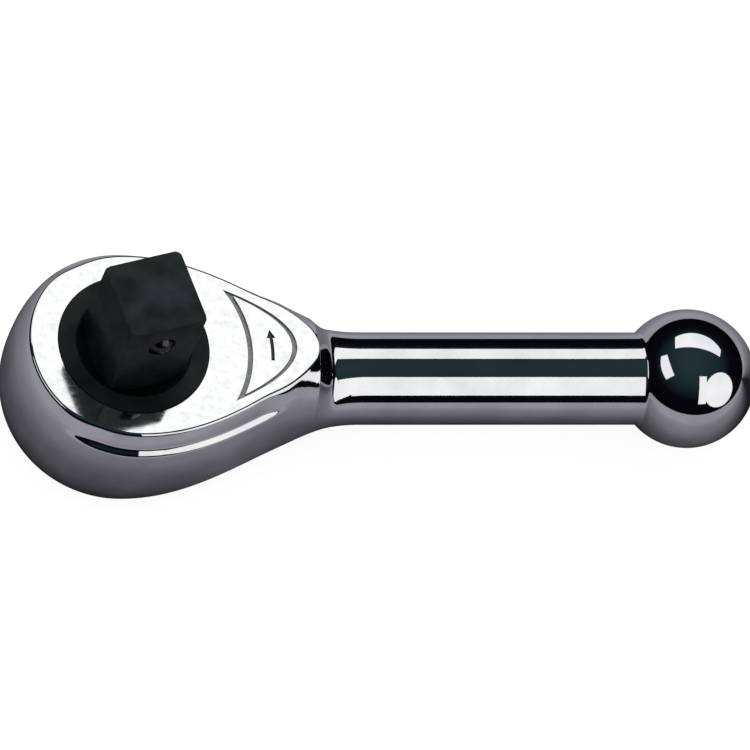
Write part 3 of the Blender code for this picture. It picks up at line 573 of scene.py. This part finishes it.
lapped_steel = bare_steel("lapped_bearing_steel", "#2E3033", "#4A4D50", 0.12, 0.22, 0.5)
BALL_STEPS = 48
for end, bodyname in (("front", "ball_front"), ("back", "ball_back")):
    low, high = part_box(f"detent_ball_{end}")
    centre = (low + high) / 2 / MM
    radius = (high.z - low.z) / 2 / MM
    tilt = np.linspace(0.0, math.pi, BALL_STEPS // 2 + 1)[:, None]
    turn = (np.arange(BALL_STEPS) * 2 * math.pi / BALL_STEPS)[None, :]
    points = np.stack(
        [
            centre.x + radius * np.sin(tilt) * np.cos(turn),
            centre.y + radius * np.sin(tilt) * np.sin(turn),
            centre.z + radius * np.cos(tilt) * np.ones_like(turn),
        ],
        axis=-1,
    ).reshape(-1, 3)
    ball = mesh_piece(
        f"lapped_ball_{end}",
        points,
        grid_faces(BALL_STEPS // 2 + 1, BALL_STEPS, wrap_columns=True),
        lapped_steel,
        bodyname,
        smooth_angle=80.0,
    )
    shape = bmesh.new()
    shape.from_mesh(ball.data)
    bmesh.ops.remove_doubles(shape, verts=shape.verts, dist=1e-7)
    bmesh.ops.recalc_face_normals(shape, faces=shape.faces)
    shape.to_mesh(ball.data)
    shape.free()
    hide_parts(f"detent_ball_{end}")

# ------------------------------------------------------------------ springs, washers, cover, rings and pawl
# What the head holds: stamped and ground steel parts kept under a film of oil, one bronze thrust washer, and
# two nitrile O-rings that keep the grease in. They show at the back, and when the drive is pushed through.

finishes = {
    "oiled_spring_steel": (
        bare_steel("oiled_spring_steel", "#63656A", "#8D9094", 0.25, 0.4, 0.25),
        ["detent_spring_front", "detent_spring_back", "pawl_spring", "wave_washer"],
    ),
    "phosphated_ring": (
        bare_steel("phosphated_ring", "#2C2E31", "#4A4D50", 0.45, 0.6, 0.4, 0.6),
        ["retaining_ring"],
    ),
    "surface_ground_steel": (
        bare_steel("surface_ground_steel", "#A3A4A6", "#BFC0C2", 0.22, 0.36, 0.2),
        ["cover_plate", "pawl", "pawl_pin"],
    ),
    "rolled_bronze": (bare_steel("rolled_bronze", "#8A6434", "#B58A4E", 0.3, 0.45, 0.5), ["thrust_washer"]),
    "nitrile_rubber": (
        bare_steel("nitrile_rubber", "#0E0E0F", "#1B1B1C", 0.6, 0.8, 0.3, 0.0),
        ["front_o_ring", "back_o_ring"],
    ),
}
for surface, nodes in finishes.values():
    for node in nodes:
        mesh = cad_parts[node].data
        mesh.materials.clear()
        mesh.materials.append(surface)

# ------------------------------------------------------------------ studio
# A pale floor, two soft lamps for what is not metal, and round the wrench the things its chrome mirrors: a
# grey card on the table, a dark room above it, and three white windows in that room.

MIDDLE = Vector((0.034, 0.0, 0.0))


def stage_mesh(name, points, faces, material):
    """A piece of the studio, which is not part of the wrench."""
    mesh = bpy.data.meshes.new(name)
    mesh.from_pydata(np.asarray(points, float).tolist(), [], faces)
    mesh.materials.append(material)
    thing = bpy.data.objects.new(name, mesh)
    bpy.context.scene.collection.objects.link(thing)
    return thing


def mirrored_only(thing):
    """Leaves a studio piece to reflections: it neither shows, nor lights, nor shades."""
    thing.visible_camera = False
    thing.visible_diffuse = False
    thing.visible_shadow = False
    thing.visible_transmission = False


def emitter(tree, colour, strength=1.0):
    """Turns a material into plain light of this colour."""
    glow = add(tree, "ShaderNodeEmission", Strength=strength)
    if isinstance(colour, bpy.types.NodeSocket):
        tree.links.new(colour, glow.inputs["Color"])
    else:
        glow.inputs["Color"].default_value = colour
    tree.links.new(glow.outputs[0], tree.nodes["Material Output"].inputs["Surface"])


def floor_paper():
    """White paper: lit like any matte surface, and brought up to white where it is seen or mirrored."""
    made, tree, shader = new_material("seamless_paper")
    where = add(tree, "ShaderNodeTexCoord").outputs["Object"]
    fibre = add(tree, "ShaderNodeTexNoise", i0=where, Scale=1 / (2 * MM), Detail=3.0)
    tone = ramp(tree, fibre.outputs["Fac"], [(0.3, srgb("#F1F1F2")), (0.7, srgb("#F6F6F7"))])
    tree.links.new(tone, shader.inputs["Base Color"])
    shader.inputs["Roughness"].default_value = 0.9
    rays = add(tree, "ShaderNodeLightPath").outputs
    seen = add(tree, "ShaderNodeMath", {"operation": "ADD"}, i0=rays["Is Camera Ray"], i1=rays["Is Glossy Ray"])
    clamped = {"operation": "ADD", "use_clamp": True}
    seen = add(tree, "ShaderNodeMath", clamped, i0=seen.outputs[0], i1=rays["Is Transmission Ray"])
    share = add(tree, "ShaderNodeMath", {"operation": "MULTIPLY"}, i0=seen.outputs[0], i1=0.86)
    glow = add(tree, "ShaderNodeEmission", Color=(1, 1, 1, 1), Strength=1.02)
    both = add(tree, "ShaderNodeMixShader", i0=share.outputs[0], i1=shader.outputs[0], i2=glow.outputs[0])
    tree.links.new(both.outputs[0], tree.nodes["Material Output"].inputs["Surface"])
    return made


def table_card():
    """The grey table that the metal mirrors, painted as a glowing card instead of a lit one: darker close under the
    wrench as painted shadow, faintly clouded beyond it.
    """
    made, tree, shader = new_material("grey_table_card_painted_shadow")
    where = add(tree, "ShaderNodeTexCoord").outputs["Object"]
    parts = add(tree, "ShaderNodeSeparateXYZ", i0=where).outputs
    flat = add(tree, "ShaderNodeCombineXYZ", i0=parts["X"], i1=parts["Y"])
    head = add(tree, "ShaderNodeVectorMath", {"operation": "LENGTH"}, i0=flat.outputs[0]).outputs["Value"]
    head = add(tree, "ShaderNodeMath", {"operation": "SUBTRACT"}, i0=head, i1=HEAD_RADIUS * MM).outputs[0]
    aside = add(tree, "ShaderNodeMath", {"operation": "ABSOLUTE"}, i0=parts["Y"]).outputs[0]
    behind = add(tree, "ShaderNodeMath", {"operation": "MULTIPLY", "use_clamp": True}, i0=parts["X"], i1=-3.0)
    handle = add(tree, "ShaderNodeMath", {"operation": "ADD"}, i0=aside, i1=behind.outputs[0]).outputs[0]
    handle = add(tree, "ShaderNodeMath", {"operation": "SUBTRACT"}, i0=handle, i1=HANDLE_RADIUS * MM).outputs[0]
    # Painted shadow: the grey falls towards near black as the card nears the wrench's outline.
    reach = add(tree, "ShaderNodeMath", {"operation": "MINIMUM"}, i0=head, i1=handle).outputs[0]
    cloud = add(tree, "ShaderNodeTexNoise", i0=where, Scale=1 / (9 * MM), Detail=3.0, Roughness=0.6)
    spread = add(tree, "ShaderNodeMath", {"operation": "MULTIPLY_ADD"}, i0=cloud.outputs["Fac"], i1=0.004, i2=reach)
    painted_shadow_falloff = add(tree, "ShaderNodeMath", {"operation": "MULTIPLY"}, i0=spread.outputs[0], i1=1 / 0.05)
    stops = [(0.0, srgb("#222226")), (0.1, srgb("#504E54")), (0.28, srgb("#7E7B83")), (0.85, srgb("#A6A4AC"))]
    emitter(tree, ramp(tree, painted_shadow_falloff.outputs[0], stops), 1.0)
    return made


def dark_room():
    """The inside of the dome: near black, a little teal overhead."""
    made, tree, shader = new_material("dark_room")
    where = add(tree, "ShaderNodeTexCoord").outputs["Object"]
    across = add(tree, "ShaderNodeVectorMath", {"operation": "NORMALIZE"}, i0=where)
    parts = add(tree, "ShaderNodeSeparateXYZ", i0=across.outputs[0])
    stops = [(0.0, srgb("#08080A")), (0.45, srgb("#0A0A12")), (0.75, srgb("#1E2F33")), (1.0, srgb("#2A3A3D"))]
    emitter(tree, ramp(tree, parts.outputs["Z"], stops), 1.0)
    return made


DOME = 1.5
FLOOR_REACH = 3.0
FLOOR_DROP = 0.0004
CARD_DROP = 0.0001
corners = ((-1, -1), (1, -1), (1, 1), (-1, 1))
floor_points = [(x * FLOOR_REACH, y * FLOOR_REACH, -FLOOR_DROP) for x, y in corners]
stage_mesh("floor", floor_points, [(0, 1, 2, 3)], floor_paper())
card_points = [(x * DOME, y * DOME, -CARD_DROP) for x, y in corners]
mirrored_only(stage_mesh("table_card", card_points, [(0, 1, 2, 3)], table_card()))
ring = np.arange(64) * 2 * math.pi / 64
rise = np.linspace(-0.05, math.pi / 2, 24)
dome_points = DOME * np.stack(
    [
        np.cos(rise)[:, None] * np.cos(ring),
        np.cos(rise)[:, None] * np.sin(ring),
        np.sin(rise)[:, None] * np.ones(64),
    ],
    axis=-1,
).reshape(-1, 3)
mirrored_only(stage_mesh("dark_room", dome_points, grid_faces(24, 64, wrap_columns=True), dark_room()))

white_window, window_tree, _ = new_material("lit_window")
emitter(window_tree, (1.0, 1.0, 1.0, 1.0), 1.2)
CEILING = 0.9


def window(name, corners):
    """A lit window in a level ceiling: corners are its slopes x/z and y/z as seen from the wrench."""
    points = [(MIDDLE.x + x * CEILING, MIDDLE.y + y * CEILING, CEILING) for x, y in corners]
    mirrored_only(stage_mesh(name, points, [tuple(range(len(points)))], white_window))


window("back_window", [(-0.49, 0.57), (0.97, 0.28), (1.77, 1.83), (-0.46, 2.04)])
window("left_window", [(-1.50, 0.62), (-0.85, 0.46), (-0.69, -0.39), (-1.71, -0.73)])

# The round reflector at the front right, and the strip beside it that runs the handle's lower highlight.
UMBRELLA = Vector((0.674, -0.565, 0.4765)).normalized()
umbrella_turn = UMBRELLA.to_track_quat("Z", "Y").to_matrix()
rim = math.tan(math.radians(25.0)) * 0.9
umbrella = [MIDDLE + umbrella_turn @ Vector((rim * math.cos(a), rim * math.sin(a), 0.9)) for a in ring]
mirrored_only(stage_mesh("umbrella", umbrella, [tuple(range(64))], white_window))
strip = []
for side, turns in ((0.16, (24, 36, 48, 60, 70)), (0.36, (70, 60, 48, 36, 24))):
    for turn in turns:
        flat = math.sqrt(1 - side**2)
        angle = math.radians(turn)
        strip.append(MIDDLE + 0.88 * Vector((side, -flat * math.sin(angle), flat * math.cos(angle))))
mirrored_only(stage_mesh("front_strip", strip, [(k, k + 1, 8 - k, 9 - k) for k in range(4)], white_window))


def lamp(name, place, size, power):
    """A square soft lamp aimed at the wrench. Its face is not mirrored, because the windows are."""
    light = bpy.data.lights.new(name, "AREA")
    light.size = size
    light.energy = power
    thing = bpy.data.objects.new(name, light)
    bpy.context.scene.collection.objects.link(thing)
    thing.location = place
    thing.rotation_euler = (MIDDLE - Vector(place)).to_track_quat("-Z", "Y").to_euler()
    thing.visible_glossy = False


lamp("key_lamp", (0.15, 0.45, 0.7), 0.6, 9.0)
lamp("fill_lamp", (-0.35, -0.5, 0.6), 0.7, 5.0)
world = bpy.data.worlds.new("studio")
bpy.context.scene.world = world
world.use_nodes = True
world.node_tree.nodes["Background"].inputs["Color"].default_value = (1, 1, 1, 1)
world.node_tree.nodes["Background"].inputs["Strength"].default_value = 1.0

# ------------------------------------------------------------------ camera
# A long lens from in front and above the head, rolled so that the handle lies level across the picture.

RIGHT = Vector((0.970, -0.114, 0.216)).normalized()
BACK = Vector((-0.2445, -0.453, 0.857)).normalized()
UP = BACK.cross(RIGHT).normalized()
AIM = Vector((0.02739, -0.00632, 0.02106))
DISTANCE = 3.0
FIELD = 0.0878
camera = bpy.data.objects.new("camera", bpy.data.cameras.new("camera"))
bpy.context.scene.collection.objects.link(camera)
camera.data.sensor_width = 36.0
camera.data.lens = camera.data.sensor_width * DISTANCE / FIELD
camera.data.clip_start = 0.01
camera.data.clip_end = 20.0
axes = Matrix((BACK.cross(RIGHT).cross(BACK).normalized(), UP, BACK)).transposed().to_4x4()
camera.matrix_world = Matrix.Translation(AIM + BACK * DISTANCE) @ axes
bpy.context.scene.camera = camera
bpy.context.scene.view_settings.view_transform = "Standard"
